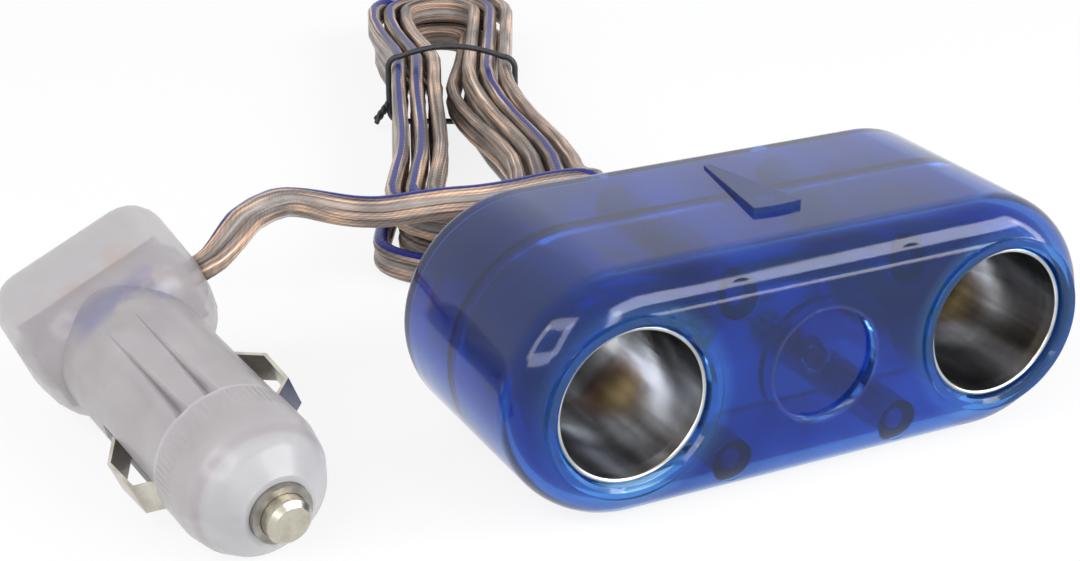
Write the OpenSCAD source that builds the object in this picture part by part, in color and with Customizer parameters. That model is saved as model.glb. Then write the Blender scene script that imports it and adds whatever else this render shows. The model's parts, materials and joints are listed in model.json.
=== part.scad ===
/* [Housing] */
// Height of the housing, which is also the diameter of its round ends
body_h = 35.6; // [35:0.2:40]
// Distance between the centres of the two round ends
end_pitch = 56.8; // [56:0.2:64]
// Depth of the housing from its front face to its back
body_d = 39; // [38:0.5:48]
// Thickness of the moulded walls
wall = 2; // [1.6:0.1:2.4]
// Radius of the large rounding of the front edge
front_round = 6.8; // [4:0.2:7.4]
// Radius of the small rounding of the back edge
rear_round = 2.4; // [2.3:0.1:2.8]

/* [Sockets] */
// Distance between the centres of the two sockets
socket_pitch = 58.6; // [54:0.2:60]
// Bore radius of a socket barrel, the standard 21 mm socket
bore_r = 10.5; // [10.3:0.05:10.7]
// Sheet thickness of a barrel
barrel_t = 0.4; // [0.3:0.05:0.6]
// Radius of the raised ring round each mouth
lip_r = 13; // [12.6:0.1:13.4]
// Height of that ring over the front face
lip_h = 0.5; // [0.3:0.1:0.8]
// Depth of a barrel's rim behind the ring
rim_depth = 1.3; // [0.8:0.1:2]

/* [Cord] */
// Width of the flat twin cord
cord_w = 5.6; // [5:0.1:5.8]
// Thickness of the flat twin cord
cord_t = 2.8; // [2.4:0.1:3]
// Number of turns from the start to the end of the hank
hank_turns = 5.85; // [3.85:1:5.85]

/* [Plug] */
// Radius of the nose cap's knurled collar
collar_r = 10.4; // [10.2:0.05:10.5]
// Radius of the plug's body behind the collar
neck_r = 10.2; // [9.9:0.05:10.3]
// Length of the plug from the pin's tip to the back of the grip
plug_l = 67.5; // [67:0.5:72]
// Width of the grip
grip_w = 27.6; // [27:0.5:32]
// Thickness of the grip
grip_t = 22; // [19:0.5:22]
// Radius of the centre pin
pin_r = 3.2; // [3:0.05:3.4]

/* [Hidden] */
$fn = 48;

// Overrun of every cut
over = 0.4;
// Clearance of a piece that sits in another
fit = 0.05;
// Clearance of a pin that slides
slide_fit = 0.06;

// Planes of the housing
centre_z = body_h / 2;
y_lip = -(body_d + lip_h) / 2;
y_face = y_lip + lip_h;
y_back = y_face + body_d;
front_depth_share = 0.57;
y_seam = y_face + front_depth_share * body_d;
tongue_l = 1.6;
tongue_t = 0.9;

// Barrels and the stack riveted to their floors
rim_r = 0.4;
mouth_gap = 0.15;
mouth_r = bore_r + barrel_t + rim_r + mouth_gap;
mouth_chamfer = 0.5;
barrel_r = bore_r + barrel_t;
y_rim = y_lip + rim_depth + rim_r;
y_ledge = y_rim + rim_r;
barrel_corner = 3.3;
floor_t = 0.6;
strap_t = 0.6;
washer_t = 1.2;
bus_t = 0.8;
tail_h = 0.9;
tail_gap = 1;
y_tail_end = y_back - wall - tail_gap;
y_bus = y_tail_end - tail_h - bus_t;
y_washer = y_bus - washer_t;
y_strap = y_washer - strap_t;
y_floor = y_strap - floor_t;
bush_t = 1;
bush_disc_r = 4.6;
bush_r = 3.3;
washer_r = 5;
rivet_r = 1.4;
rivet_head_r = 3.4;
rivet_head_h = 1.9;
rivet_tail_r = 2.3;
strap_w = 8;
bus_w = 5;
sleeve_t = 1.4;
sleeve_l = 10;
seat_t = 1.4;
seat_l = 9;

// Window, lamp and its wiring
window_r = 8.2;
window_depth = 1.2;
led_r = 1.5;
led_l = 4.6;
led_flange_r = 1.9;
led_flange_t = 0.8;
led_boss_t = 0.9;
led_boss_l = 3;
led_gap = 0.3;
leg_pitch = 2.6;
leg_r = 0.3;
leg_l = 5;
resistor_r = 1.1;
resistor_l = 6;
lamp_z_rise = 2.6;

// Screw columns
screw_x = 13.5;
screw_z_share = 0.67;
column_r = 3;
screw_r = 1.4;
screw_head_r = 2.4;
screw_head_h = 1.6;
screw_sink = 3.4;
screw_l = 19;
screw_point_l = 1.6;
screw_hole_gap = 0.25;

// Mount wedge, a ramp that rises towards the front
wedge_front = 11;
wedge_tip_y = 13.4;
wedge_nose_y = -6;
wedge_side_y = -5.6;
wedge_half_w = 3.8;
wedge_tip_w = 0.5;
wedge_h = 0.9;
wedge_tip_h = 0.3;
peg_r = 1.2;
peg_y = -2.4;

// Grommet and cord exit
exit_z = 8.6;
grommet_neck_r = 3.2;
grommet_flange_r = 4.4;
grommet_flange_t = 1.2;
grommet_l = 18;
grommet_end_r = 3;
grommet_root_r = 4;
grommet_rings = 4;
grommet_ring_w = 1.4;
grommet_ring_depth = 0.7;
lead_r = 0.9;

// Places of the two sockets and the four screws
socket_x = [-socket_pitch / 2, socket_pitch / 2];
screw_dz = screw_z_share * (centre_z);
screw_places = [for (sx = [-1, 1]) for (sz = [-1, 1]) [sx * screw_x, centre_z + sz * screw_dz]];

// Colours
blue_clear = [0.12, 0.2, 0.72, 0.75];
nickel = [0.78, 0.77, 0.74];
brass = [0.8, 0.66, 0.36];
fibre = [0.45, 0.28, 0.16];
frosted = [0.88, 0.86, 0.92, 0.8];
copper_clear = [0.78, 0.66, 0.55];
blue_lead = [0.16, 0.25, 0.75];
black_rubber = [0.06, 0.06, 0.07];

// Half of a side view: r out from the middle, from y0 to y1, rounds f in front and g behind
module half_profile(r, y0, y1, f, g) {
    translate([0, y0 + f]) square([r, y1 - y0 - f - g]);
    if (f > 0) {
        translate([0, y0]) square([r - f, f]);
        translate([r - f, y0 + f]) circle(f);
    }
    if (g > 0) {
        translate([0, y1 - g]) square([r - g, g]);
        translate([r - g, y1 - g]) circle(g);
    }
}

module trimmed_profile(r, y0, y1, f, g) {
    intersection() {
        half_profile(r, y0, y1, f, g);
        translate([0, y0]) square([r, y1 - y0]);
    }
}

// A block with round ends, lying along X, with its edges rounded in front and behind
module long_round(r, y0, y1, f, g) {
    for (side = [-1, 1])
        translate([side * end_pitch / 2, 0, centre_z])
            rotate([-90, 0, 0])
                rotate_extrude() trimmed_profile(r, y0, y1, f, g);
    translate([-end_pitch / 2, 0, centre_z])
        rotate([0, 90, 0])
            linear_extrude(end_pitch) {
                trimmed_profile(r, y0, y1, f, g);
                mirror([1, 0]) trimmed_profile(r, y0, y1, f, g);
            }
}

// Moves to a point of the housing and turns +Z to +Y, the way into the sockets
module at_y(x, y, z) {
    translate([x, y, z]) rotate([-90, 0, 0]) children();
}

module rod(r, y0, y1, x, z) {
    at_y(x, y0, z) cylinder(r = r, h = y1 - y0);
}

// Housing

module front_shell() {
    color(blue_clear)
    difference() {
        union() {
            difference() {
                long_round(centre_z, y_face, y_seam, front_round, 0);
                long_round(centre_z - wall, y_face + wall, y_seam + over, front_round - wall, 0);
            }
            for (x = socket_x) {
                rod(lip_r, y_lip, y_face + wall, x, centre_z);
                rod(barrel_r + fit + sleeve_t, y_face, y_face + sleeve_l, x, centre_z);
            }
            for (p = screw_places)
                rod(column_r, y_face + wall / 2, y_seam, p[0], p[1]);
            rod(led_r + fit + led_boss_t, y_face + wall / 2, y_face + wall + window_depth + led_boss_l, 0, centre_z);
            rod(window_r + wall / 2, y_face + wall / 2, y_face + wall + window_depth, 0, centre_z);
        }
        for (x = socket_x) {
            rod(mouth_r, y_lip - over, y_ledge, x, centre_z);
            rod(barrel_r + fit, y_ledge - over, y_face + sleeve_l + over, x, centre_z);
            at_y(x, y_lip - over, centre_z)
                cylinder(r1 = mouth_r + mouth_chamfer + over, r2 = mouth_r, h = mouth_chamfer + over);
        }
        rod(window_r, y_face - over, y_face + window_depth, 0, centre_z);
        rod(led_r + fit, y_face + wall + window_depth, y_seam, 0, centre_z);
        for (p = screw_places)
            rod(screw_r + fit, y_seam - screw_l, y_seam + over, p[0], p[1]);
        translate([0, peg_y, body_h - wall - over]) cylinder(r = peg_r + fit, h = wall + over + over);
        difference() {
            long_round(centre_z - wall + tongue_t + fit, y_seam - tongue_l - fit, y_seam + over, 0, 0);
            for (p = screw_places)
                rod(column_r, y_seam - tongue_l - over, y_seam + over, p[0], p[1]);
        }
    }
}

module rear_shell() {
    slot_l = y_tail_end - y_floor;
    color(blue_clear)
    difference() {
        union() {
            difference() {
                long_round(centre_z, y_seam, y_back, 0, rear_round);
                long_round(centre_z - wall, y_seam - over, y_back - wall, 0, rear_round - wall);
            }
            difference() {
                long_round(centre_z - wall + tongue_t, y_seam - tongue_l, y_seam + over, 0, 0);
                long_round(centre_z - wall, y_seam - tongue_l - over, y_seam + over + over, 0, 0);
            }
            for (x = socket_x)
                difference() {
                    rod(barrel_r + fit + seat_t, y_back - wall - seat_l, y_back - wall / 2, x, centre_z);
                    rod(barrel_r + fit, y_back - wall - seat_l - over, y_back - wall, x, centre_z);
                }
            for (p = screw_places)
                rod(column_r, y_seam, y_back - wall / 2, p[0], p[1]);
        }
        // The strap and the bus pass through the inner side of each barrel seat
        translate([-socket_pitch / 2, y_floor, centre_z - strap_w / 2 - fit])
            cube([socket_pitch, slot_l, strap_w + fit + fit]);
        for (p = screw_places) {
            rod(screw_r + screw_hole_gap, y_seam - over, y_back - wall, p[0], p[1]);
            rod(screw_head_r + screw_hole_gap, y_back - screw_sink, y_back + over, p[0], p[1]);
        }
        rod(grommet_neck_r + fit, y_back - wall - over, y_back + over, 0, exit_z);
    }
}

// A ramp with a pointed tail, a bowed front and a peg into the front shell
module mount_wedge() {
    bow_r = (wedge_half_w * wedge_half_w + (wedge_side_y - wedge_nose_y) * (wedge_side_y - wedge_nose_y))
        / (2 * (wedge_side_y - wedge_nose_y));
    color(blue_clear) {
        intersection() {
            translate([0, 0, body_h])
                linear_extrude(wedge_h)
                    union() {
                        polygon([
                            [-wedge_half_w, wedge_side_y], [wedge_half_w, wedge_side_y],
                            [wedge_tip_w, wedge_tip_y], [-wedge_tip_w, wedge_tip_y]
                        ]);
                        intersection() {
                            translate([0, wedge_nose_y + bow_r]) circle(bow_r);
                            translate([-wedge_half_w, wedge_nose_y])
                                square([wedge_half_w * 2, wedge_side_y - wedge_nose_y]);
                        }
                    }
            translate([-wedge_half_w, 0, body_h])
                rotate([90, 0, 90])
                    linear_extrude(wedge_half_w * 2)
                        polygon([
                            [wedge_nose_y, 0], [wedge_tip_y, 0],
                            [wedge_tip_y, wedge_tip_h], [wedge_side_y, wedge_h], [wedge_nose_y, wedge_h]
                        ]);
        }
        translate([0, peg_y, body_h - wall]) cylinder(r = peg_r, h = wall + wedge_h / 2);
    }
}

// Drawn barrel with a rolled rim and a floor with a hole for the rivet bush
module barrel(x) {
    color(nickel)
    at_y(x, 0, centre_z)
        difference() {
            rotate_extrude() {
                trimmed_profile(barrel_r, y_rim, y_strap, 0, barrel_corner + barrel_t);
                translate([barrel_r, y_rim]) circle(rim_r);
            }
            rotate_extrude() trimmed_profile(bore_r, y_lip, y_floor, 0, barrel_corner);
            translate([0, 0, y_floor - over]) cylinder(r = bush_r + fit, h = floor_t + over * 2);
        }
}

module rivet_bush(x) {
    color(fibre)
    difference() {
        union() {
            rod(bush_disc_r, y_floor - bush_t, y_floor, x, centre_z);
            rod(bush_r, y_floor - over, y_washer, x, centre_z);
        }
        rod(rivet_r + fit, y_floor - bush_t - over, y_washer + over, x, centre_z);
    }
}

module rivet_washer(x) {
    color(fibre)
    difference() {
        rod(washer_r, y_washer, y_bus, x, centre_z);
        rod(rivet_r + fit, y_washer - over, y_bus + over, x, centre_z);
    }
}

// Domed rivet: head in the barrel, shank through the stack, flared tail behind the bus
module centre_contact(x) {
    head_y = y_floor - bush_t;
    cap_r = (rivet_head_r * rivet_head_r + rivet_head_h * rivet_head_h) / (2 * rivet_head_h);
    color(brass) {
        at_y(x, head_y, centre_z)
            intersection() {
                translate([0, 0, cap_r - rivet_head_h]) sphere(cap_r);
                translate([0, 0, -rivet_head_h]) cylinder(r = rivet_head_r, h = rivet_head_h);
            }
        rod(rivet_r, head_y - rivet_head_h / 2, y_tail_end - tail_h / 2, x, centre_z);
        rod(rivet_tail_r, y_tail_end - tail_h, y_tail_end, x, centre_z);
    }
}

// A flat strip between the sockets with round ends and a hole at each end
module strip(w, t, y, hole) {
    at_y(0, y, centre_z)
        linear_extrude(t)
            difference() {
                union() {
                    square([socket_pitch, w], center = true);
                    for (x = socket_x) translate([x, 0]) circle(w / 2);
                }
                for (x = socket_x) translate([x, 0]) circle(hole);
            }
}

module ground_strap() {
    color(nickel) strip(strap_w, strap_t, y_strap, bush_r + fit);
}

module positive_bus() {
    color(brass) strip(bus_w, bus_t, y_bus, rivet_r + fit);
}

// Lamp body with its flange and two legs
module lamp_led() {
    y_dome = y_face + wall + window_depth + led_gap;
    color("red") {
        rod(led_r, y_dome + led_r, y_dome + led_l, 0, centre_z);
        translate([0, y_dome + led_r, centre_z]) sphere(led_r);
        rod(led_flange_r, y_dome + led_l, y_dome + led_l + led_flange_t, 0, centre_z);
    }
    color(nickel)
        for (side = [-1, 1])
            rod(leg_r, y_dome + led_l + led_flange_t / 2, y_dome + led_l + led_flange_t + leg_l,
                side * leg_pitch / 2, centre_z);
}

y_leg_end = y_face + wall + window_depth + led_gap + led_l + led_flange_t + leg_l;
y_wire_turn = (y_floor + y_leg_end) / 2;
wire_z = centre_z + strap_w / 2 + lamp_z_rise;

// A bent round wire along points, swept as one tube
module wire(points, r) {
    tube(points, r * 2, r * 2, [for (p = points) 0], 8);
}

// Resistor with its two leads: from the lamp's leg over the strap to the top edge of the bus
module lamp_resistor() {
    x = -leg_pitch / 2;
    y_mid = (y_leg_end + y_strap) / 2;
    color("tan") rod(resistor_r, y_mid - resistor_l / 2, y_mid + resistor_l / 2, x, centre_z);
    color(nickel) {
        rod(leg_r, y_leg_end, y_mid - resistor_l / 2 + over, x, centre_z);
        wire([
            [x, y_mid + resistor_l / 2 - over, centre_z],
            [x, y_mid + resistor_l / 2 + leg_r, centre_z],
            [x, y_mid + resistor_l / 2 + leg_r * 4, centre_z + leg_r],
            [x, y_strap - leg_r * 4, wire_z - leg_r],
            [x, y_strap, wire_z],
            [x, y_bus - leg_r * 2, wire_z],
            [x, y_bus + bus_t / 2 - leg_r / 4, wire_z - leg_r * 2],
            [x, y_bus + bus_t / 2, wire_z - leg_r * 4],
            [x, y_bus + bus_t / 2, centre_z + bus_w / 2]
        ], leg_r);
    }
}

module lamp_wire() {
    color(nickel) rod(leg_r, y_leg_end, y_strap, leg_pitch / 2, centre_z);
}

module shell_screws() {
    y_head = y_back - screw_sink;
    color(nickel)
        for (p = screw_places)
            at_y(p[0], y_head + screw_head_h, p[1])
                rotate([180, 0, 0])
                    rotate_extrude()
                        polygon([
                            [0, 0], [screw_head_r * 0.8, 0], [screw_head_r, screw_head_h * 0.3],
                            [screw_head_r, screw_head_h], [screw_r, screw_head_h],
                            [screw_r, screw_head_h + screw_l - screw_point_l],
                            [screw_r / 4, screw_head_h + screw_l], [0, screw_head_h + screw_l]
                        ]);
}

// Strain relief: a ringed taper outside, a neck through the wall and a flange inside
module cord_grommet() {
    ring_step = (grommet_l - grommet_flange_t * 2) / grommet_rings;
    color(black_rubber)
    at_y(0, 0, exit_z)
        difference() {
            rotate_extrude()
                polygon([
                    [0, y_back - wall - grommet_flange_t], [grommet_flange_r, y_back - wall - grommet_flange_t],
                    [grommet_flange_r, y_back - wall], [grommet_neck_r, y_back - wall],
                    [grommet_neck_r, y_back], [grommet_flange_r, y_back],
                    [grommet_flange_r, y_back + grommet_flange_t], [grommet_root_r, y_back + grommet_flange_t],
                    [grommet_end_r, y_back + grommet_l], [0, y_back + grommet_l]
                ]);
            for (i = [1 : grommet_rings])
                translate([0, 0, y_back + grommet_flange_t + (i - 0.5) * ring_step])
                    rotate_extrude()
                        translate([grommet_end_r - grommet_ring_depth + (grommet_rings - i) * fit * 4, 0])
                            square([grommet_ring_w * 2, grommet_ring_w]);
        }
}

// Inner ends of the cord's two conductors
y_lead = y_back - wall - grommet_flange_t;

module lead_positive() {
    x = -lead_r * 6.2;
    y = y_bus + bus_t / 2;
    z = centre_z - bus_w / 2;
    color(copper_clear)
        wire([
            [-lead_r * 1.5, y_lead, exit_z], [-lead_r * 1.5, y_lead - lead_r, exit_z],
            [-lead_r * 2.6, y_lead - lead_r * 1.8, exit_z + lead_r * 1.4],
            [-lead_r * 4.4, (y_lead + y) / 2 - lead_r, exit_z + lead_r * 3],
            [x, y, z - lead_r * 2], [x, y, z]
        ], lead_r);
}

module lead_negative() {
    x = lead_r * 6.2;
    y = y_strap + strap_t / 2;
    z = centre_z - strap_w / 2;
    color(blue_lead)
        wire([
            [lead_r * 1.5, y_lead, exit_z], [lead_r * 1.5, y_lead - lead_r, exit_z],
            [lead_r * 2.6, y_lead - lead_r * 2, exit_z + lead_r * 1.2],
            [lead_r * 4.4, y + lead_r * 0.7, exit_z + lead_r * 2.4],
            [x, y, z - lead_r * 1.6], [x, y, z]
        ], lead_r);
}

// Sweeping a flat cord

function unit(v) = v / norm(v);
function mean_way(points, i) =
    unit((i == len(points) - 1 ? [0, 0, 0] : unit(points[i + 1] - points[i]))
        + (i == 0 ? [0, 0, 0] : unit(points[i] - points[i - 1])));
function side_way(way) =
    let (flat = [way[1], -way[0], 0]) norm(flat) < 0.001 ? [1, 0, 0] : unit(flat);

// One ring of a swept tube: w across, t thick, turned by roll about the way it runs
function ring(centre, way, w, t, roll, sides) =
    let (
        across = side_way(way),
        upward = cross(across, way),
        wide = cos(roll) * across + sin(roll) * upward,
        thin = cross(wide, way)
    )
    [for (k = [0 : sides - 1])
        centre + wide * cos(360 * k / sides) * w / 2 + thin * sin(360 * k / sides) * t / 2];

function tube_faces(rings, sides) = concat(
    [for (k = [1 : sides - 2]) [0, k + 1, k]],
    [for (i = [0 : rings - 2]) for (k = [0 : sides - 1])
        let (a = i * sides + k, b = i * sides + (k + 1) % sides) [a, b, b + sides]],
    [for (i = [0 : rings - 2]) for (k = [0 : sides - 1])
        let (a = i * sides + k, b = i * sides + (k + 1) % sides) [a, b + sides, a + sides]],
    [for (k = [1 : sides - 2]) let (e = (rings - 1) * sides) [e, e + k, e + k + 1]]
);

module tube(points, w, t, rolls, sides) {
    polyhedron(
        points = [for (i = [0 : len(points) - 1])
            for (v = ring(points[i], mean_way(points, i), w, t, rolls[i], sides)) v],
        faces = tube_faces(len(points), sides)
    );
}

// Hank, in its own line: a along it from the tie, b across it, z up

hank_at_x = 16;
hank_at_y = 142;
hank_heading = 26.6;
near_reach = 66;
far_reach = 46;
near_bend = 56;
near_side = 8;
far_side = -4;
near_r = 6.6;
far_r = 5;
waist_half = 0.8;
turn_step = 3.6;
layer_rise = 6.2;
floor_gap = 0.1;
low_z = cord_w / 2 + floor_gap;
waist_lift = 1.6;
waist_lift_reach = 30;
run_share = 0.4;
fold_share = 0.1;
run_rings = 7;
fold_rings = 5;
middle_turn = 2.7;

function ease(u) = let (c = max(0, min(1, u))) c * c * (3 - 2 * c);
function turn_count(p) = abs(middle_turn - p);
function end_half(p, far) = (far ? far_r : near_r) + turn_step * turn_count(p);
function run_across(a, p, side) =
    let (
        far = a > 0,
        s = ease(abs(a) / (far ? far_reach : near_reach)),
        lean = ease(abs(a) / (far ? far_reach : near_bend)),
        waist = waist_half + turn_step * turn_count(p)
    )
    lean * (far ? far_side : near_side) + side * (waist + (end_half(p, far) - waist) * s);
function hank_height(a, p) =
    low_z
    + layer_rise * ease((p - middle_turn + run_share / 2) / run_share)
    + waist_lift * (1 - ease(abs(a) / waist_lift_reach));
function hank_line(p) =
    let (
        f = p - floor(p),
        half = f < 0.5 ? 0 : 1,
        u = (f - half / 2) / run_share,
        turn = 180 * (f - half / 2 - run_share) / fold_share,
        side = half == 0 ? -1 : 1,
        a = u < 1 ? side * (u * (near_reach + far_reach) - (half == 0 ? near_reach : far_reach)) * -1
            : (half == 0 ? far_reach + end_half(p, true) * sin(turn)
                : -near_reach - end_half(p, false) * sin(turn)),
        b = u < 1 ? run_across(a, p, side)
            : (half == 0 ? far_side - end_half(p, true) * cos(turn)
                : near_side + end_half(p, false) * cos(turn))
    )
    [a, b, hank_height(a, p)];

along_hank = [sin(hank_heading), cos(hank_heading), 0];
across_hank = [cos(hank_heading), -sin(hank_heading), 0];
function hank_place(q) =
    [hank_at_x, hank_at_y, 0] + q[0] * along_hank + q[1] * across_hank + [0, 0, q[2]];

half_turn_steps = concat(
    [for (i = [0 : run_rings - 1]) run_share * i / run_rings],
    [for (i = [0 : fold_rings - 1]) run_share + fold_share * i / fold_rings]
);
hank_phases = concat(
    [for (h = [0 : ceil(hank_turns * 2)]) for (s = half_turn_steps)
        let (p = h / 2 + s) if (p < hank_turns - 0.01) p],
    [hank_turns]
);
hank_points = [for (p = hank_phases) hank_place(hank_line(p))];

// Least gap between two stretches that lie more than a quarter turn apart, all of them on edge:
// the best of beside, above and aslant
function gap_to_piece(p, a, b) =
    let (
        ab = b - a,
        u = max(0, min(1, (p - a) * ab / (ab * ab))),
        d = p - (a + u * ab),
        beside = norm([d[0], d[1]])
    )
    max(
        beside - cord_t,
        abs(d[2]) - cord_w,
        norm(d) - norm([beside * cord_t, d[2] * cord_w]) / norm(d)
    );
hank_gap = min([for (i = [0 : len(hank_points) - 1]) for (j = [0 : len(hank_points) - 2])
    if (abs(i - j) > run_rings) gap_to_piece(hank_points[i], hank_points[j], hank_points[j + 1])]);

function path_length(points, i = 0) =
    i >= len(points) - 1 ? 0 : norm(points[i + 1] - points[i]) + path_length(points, i + 1);

// Plug, in its own frame: Z back from the pin's tip, X across the grip, Y down through it

plug_tip_x = -74.7;
plug_tip_y = -13.1;
plug_yaw = -8;
plug_pitch = 6.5;
plug_roll = -24;
collar_s0 = 12;
collar_s1 = 18.1;
plug_lift = 0.35;
plug_tip_z = collar_r * cos(plug_pitch) - (collar_s0 + collar_s1) / 2 * sin(plug_pitch) + plug_lift;
back_way = [sin(plug_yaw) * cos(plug_pitch), cos(plug_yaw) * cos(plug_pitch), sin(plug_pitch)];
level_way = [cos(plug_yaw), -sin(plug_yaw), 0];
down_way = cross(back_way, level_way);
grip_way = cos(plug_roll) * level_way + sin(plug_roll) * down_way;
function plug_place(x, s) = [plug_tip_x, plug_tip_y, plug_tip_z] + x * grip_way + s * back_way;

// Nose
nose_hole_r = 4.3;
nose_front = 3.4;
nose_cone_r = 8.6;
nose_cone_s = 6.6;
nose_cheek_r = 9.8;
nose_cheek_s = 9;
nose_edge = 0.9;
cap_wall_s = 9.8;
spigot_r = 7.55;
thread_gap = 0.1;
shoulder_gap = 0.2;
ring_front = 2.4;
ring_flange_r = 5.6;
ring_flange_t = 0.8;
pin_chamfer = 0.7;
pin_flange_r = 4.5;
pin_flange_t = 0.9;
pin_travel = 2;
fuse_r = 3.1;
fuse_l = 30;
fuse_cap_l = 6;
fuse_glass_r = 2.8;
channel_r = 3.4;
spring_l = 8.2;
spring_r = 2.5;
spring_wire_r = 0.35;
spring_curls = 6;
terminal_r = 4.2;
terminal_t = 0.8;
terminal_tail_r = 0.8;
terminal_tail_l = 2.4;
pin_gap = 0.1;
s_ring_flange = cap_wall_s;
s_pin_flange = cap_wall_s + ring_flange_t + pin_gap;
s_body = s_pin_flange + pin_gap * 3;
s_fuse = s_pin_flange + pin_flange_t;
s_spring = s_fuse + fuse_l;
s_terminal = s_spring + spring_l;
counterbore_l = pin_flange_t + pin_travel + pin_gap * 4;

// Grip and body
neck_s0 = collar_s1 + shoulder_gap;
grip_s0 = 45;
grip_round = 5.5;
grip_front_round = 9;
grip_side = 1.6;
chamber_w = 21;
chamber_x1 = 13;
chamber_t = 11;
chamber_s0 = 51.6;
chamber_s1 = 60.4;
boss_r = 5.6;
boss_wall = 1.2;
boss_s1 = s_terminal + terminal_t + boss_wall;
entry_s = 55;
conductor_r = 1.05;
conductor_pitch = 2.8;
plug_entry = plug_place(grip_side + grip_w / 2, entry_s);
plug_entry_way = grip_way;
leaf_w = 5;
leaf_t = 0.5;
leaf_pivot_x = 7.6;
leaf_pivot_s = 33.8;
leaf_pocket_x = 4.4;
leaf_pocket_x1 = 13;
pocket_gap = 0.2;
pocket_end_gap = 1;
yoke_s0 = 34.5;
yoke_s1 = 58.6;
plug_screw_s = 62.8;
plug_screw_head_r = 2.5;
plug_screw_head_h = 1.5;
plug_screw_r = 1.2;
plug_screw_l = 11;
plug_screw_sink = 2.6;
flute_w = 2.4;
flute_depth = 1.1;
flute_l = 24;
flute_angle = 13;

// Routes of the free stretches: x, y, z and the roll of the flat cord, where 90 stands it on edge
exit_route = [
    [0, 37.8, 8.6, 0], [0, 44, 8.4, 0], [-0.5, 49.5, 7.4, 15], [-2.2, 54.5, 5.6, 40],
    [-5.6, 58.8, 4, 65], [-10.6, 61.4, 3.1, 85], [-16, 63.2, 2.9, 90], [-21, 66.6, 2.9, 90],
    [-24.6, 71.6, 2.9, 90], [-25.6, 77, 2.9, 90]
];
plug_route = [
    [13.9, 75, 9.6, 88], [13.4, 71.4, 10.8, 75], [11.6, 68, 12.6, 60], [8.4, 65.4, 14.2, 50],
    [3.6, 64.2, 15.2, 42], [-1.6, 63.8, 15.4, 40], [-7, 63.5, 15.3, 40], [-13, 64, 15.2, 40],
    [-19, 65.4, 15.2, 40], [-25, 65.9, 15.2, 40], [-30, 65.9, 15.4, 40], [-34.6, 66.5, 16.1, 40],
    [-38.6, 67.2, 17.2, 40], [-42.2, 66.8, 18.6, 40], [-45.6, 65, 20.1, 38], [-48.7, 62, 21.5, 34],
    [-51.4, 58.2, 22.8, 29], [-54.2, 54, 24.2, 23], [-57, 50, 25.2, 16], [-59.8, 46.6, 25.7, 9],
    [-62.7, 43.9, 24.6, 4]
];
function places(route) = [for (q = route) [q[0], q[1], q[2]]];
function rolls(route) = [for (q = route) q[3]];

hank_start = hank_points[0];
hank_start_way = unit(hank_points[1] - hank_points[0]);
hank_end = hank_points[len(hank_points) - 1];
hank_end_way = unit(hank_points[len(hank_points) - 1] - hank_points[len(hank_points) - 2]);
// The ends run straight for one cord thickness where stretches meet
exit_points = concat(
    [[0, y_back + grommet_l, exit_z], [0, y_back + grommet_l + cord_t, exit_z]],
    [for (i = [1 : len(exit_route) - 1]) places(exit_route)[i]],
    [hank_start - hank_start_way * cord_t * 2, hank_start - hank_start_way * cord_t]
);
exit_rolls = concat([0, 0], [for (i = [1 : len(exit_route) - 1]) rolls(exit_route)[i]], [90, 90]);
hank_tube_points = concat(
    [hank_start - hank_start_way * cord_t], hank_points, [hank_end + hank_end_way * cord_t]
);
plug_points = concat(
    [hank_end + hank_end_way * cord_t, hank_end + hank_end_way * cord_t * 2],
    places(plug_route),
    [plug_entry + plug_entry_way * cord_t, plug_entry]
);
plug_rolls = concat([90, 90], rolls(plug_route), [0, 0]);

echo(
    hank_least_gap = hank_gap, hank_rings = len(hank_points),
    cord_length = path_length(exit_points) + path_length(hank_points) + path_length(plug_points),
    hank_start = hank_start, hank_end = hank_end, plug_entry = plug_entry, plug_tip_z = plug_tip_z,
    tie = [tie_left, tie_right, tie_top]
);

module cord_exit_run() {
    color(copper_clear) tube(exit_points, cord_w, cord_t, exit_rolls, 8);
}

module cord_hank() {
    color(copper_clear)
        tube(hank_tube_points, cord_w, cord_t, [for (p = hank_tube_points) 90], 6);
}

module cord_plug_run() {
    color(copper_clear) tube(plug_points, cord_w, cord_t, plug_rolls, 8);
}

// Tie: a thin ring round the waist, a rounded rectangle across the hank
tie_r = 0.6;
tie_gap = 1;
tie_corner = 2.4;
tie_corner_rings = 6;
tie_floor_gap = 0.02;
tie_low = tie_r + tie_floor_gap;
tie_left = run_across(0, 0.2, -1) - cord_t / 2 - tie_gap;
tie_right = run_across(0, 5.6, 1) + cord_t / 2 + tie_gap;
tie_top = hank_height(0, hank_turns) + cord_w / 2 + tie_gap;

module hank_tie() {
    corners = [
        [tie_right - tie_corner, tie_top - tie_corner, 0], [tie_left + tie_corner, tie_top - tie_corner, 90],
        [tie_left + tie_corner, tie_low + tie_corner, 180], [tie_right - tie_corner, tie_low + tie_corner, 270]
    ];
    line = [for (c = corners) for (i = [0 : tie_corner_rings])
        let (t = c[2] + 90 * i / tie_corner_rings)
        [c[0] + tie_corner * cos(t), c[1] + tie_corner * sin(t), t]];
    sides = 8;
    n = len(line);
    color(black_rubber)
        polyhedron(
            points = [for (q = line) for (k = [0 : sides - 1])
                let (g = 360 * k / sides, reach = tie_r * cos(g))
                hank_place([tie_r * sin(g), q[0] + reach * cos(q[2]), q[1] + reach * sin(q[2])])],
            faces = concat(
                [for (i = [0 : n - 1]) for (k = [0 : sides - 1])
                    let (m = (k + 1) % sides, j = (i + 1) % n)
                    [i * sides + k, j * sides + m, i * sides + m]],
                [for (i = [0 : n - 1]) for (k = [0 : sides - 1])
                    let (m = (k + 1) % sides, j = (i + 1) % n)
                    [i * sides + k, j * sides + k, j * sides + m]]
            )
        );
}

// Plug pieces

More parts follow.
